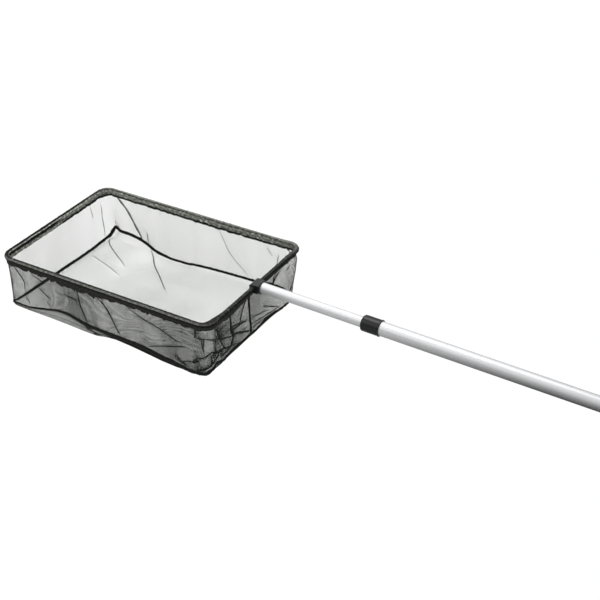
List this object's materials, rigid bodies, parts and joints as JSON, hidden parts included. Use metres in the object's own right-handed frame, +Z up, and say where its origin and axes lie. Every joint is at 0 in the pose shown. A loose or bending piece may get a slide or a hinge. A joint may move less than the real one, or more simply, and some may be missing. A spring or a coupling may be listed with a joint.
{
  "type": "leaf skimmer net",
  "caption": "Rectangular deep mesh bag on a bent rim rod, with a moulded connector and a telescopic metal pole with an internal twist lock, grip and hanging hole.",
  "frame": {"origin": "centre of the hanging hole in the end cap, on the pole's axis", "axes": "+X along the pole from the net towards the grip, +Z up with the bag hanging to -Z, +Y across the net"},
  "size_m": [1.3941, 0.3084, 0.1398],
  "materials": {
    "rod_paint": "black coated steel tube",
    "net_mesh": "black polyester mesh",
    "thread": "black sewing thread",
    "tape": "black woven binding tape",
    "black_plastic": "black moulded plastic, satin",
    "bush_plastic": "natural nylon",
    "lock_plastic": "black moulded plastic",
    "tube_aluminium": "satin anodised",
    "screw_steel": "zinc plated",
    "grip_foam": "black foam rubber"
  },
  "bodies": {
    "outer_pole": {"outer_tube": "tube_aluminium", "collar": "black_plastic", "guide_bush": "bush_plastic", "hand_grip": "grip_foam", "end_cap": "black_plastic"},
    "lock_sleeve": {"lock_expander": "lock_plastic"},
    "lock_nut": {"lock_cone": "lock_plastic"},
    "inner_pole": {"inner_tube": "tube_aluminium", "lock_plug": "lock_plastic", "lock_plug_pin": "screw_steel", "lock_stop_ring": "screw_steel", "plug_rivet": "tube_aluminium", "connector_body": "black_plastic", "rod_set_screws": "screw_steel", "frame_rod": "rod_paint", "hem_sleeve": "net_mesh", "hem_stitching": "thread", "net_side_band": "net_mesh", "net_bottom_panel": "net_mesh", "bottom_binding": "tape", "side_seam_tape": "tape"}
  },
  "joints": [
    {"name": "pole_extend", "type": "slide", "parent": "outer_pole", "child": "lock_sleeve", "axis": [-1, 0, 0], "range_m": [-0.183, 0.3]},
    {"name": "lock_twist", "type": "hinge", "parent": "lock_sleeve", "child": "inner_pole", "pos_m": [-0.29, 0, 0], "axis": [1, 0, 0], "range_deg": [0, 180]},
    {"name": "lock_cone_travel", "type": "slide", "parent": "lock_sleeve", "child": "lock_nut", "axis": [1, 0, 0], "range_m": [0, 0.0021]}
  ],
  "couplings": [
    {"joint": "lock_cone_travel", "follows": "lock_twist", "m_per_rad": 0.00063662}
  ]
}
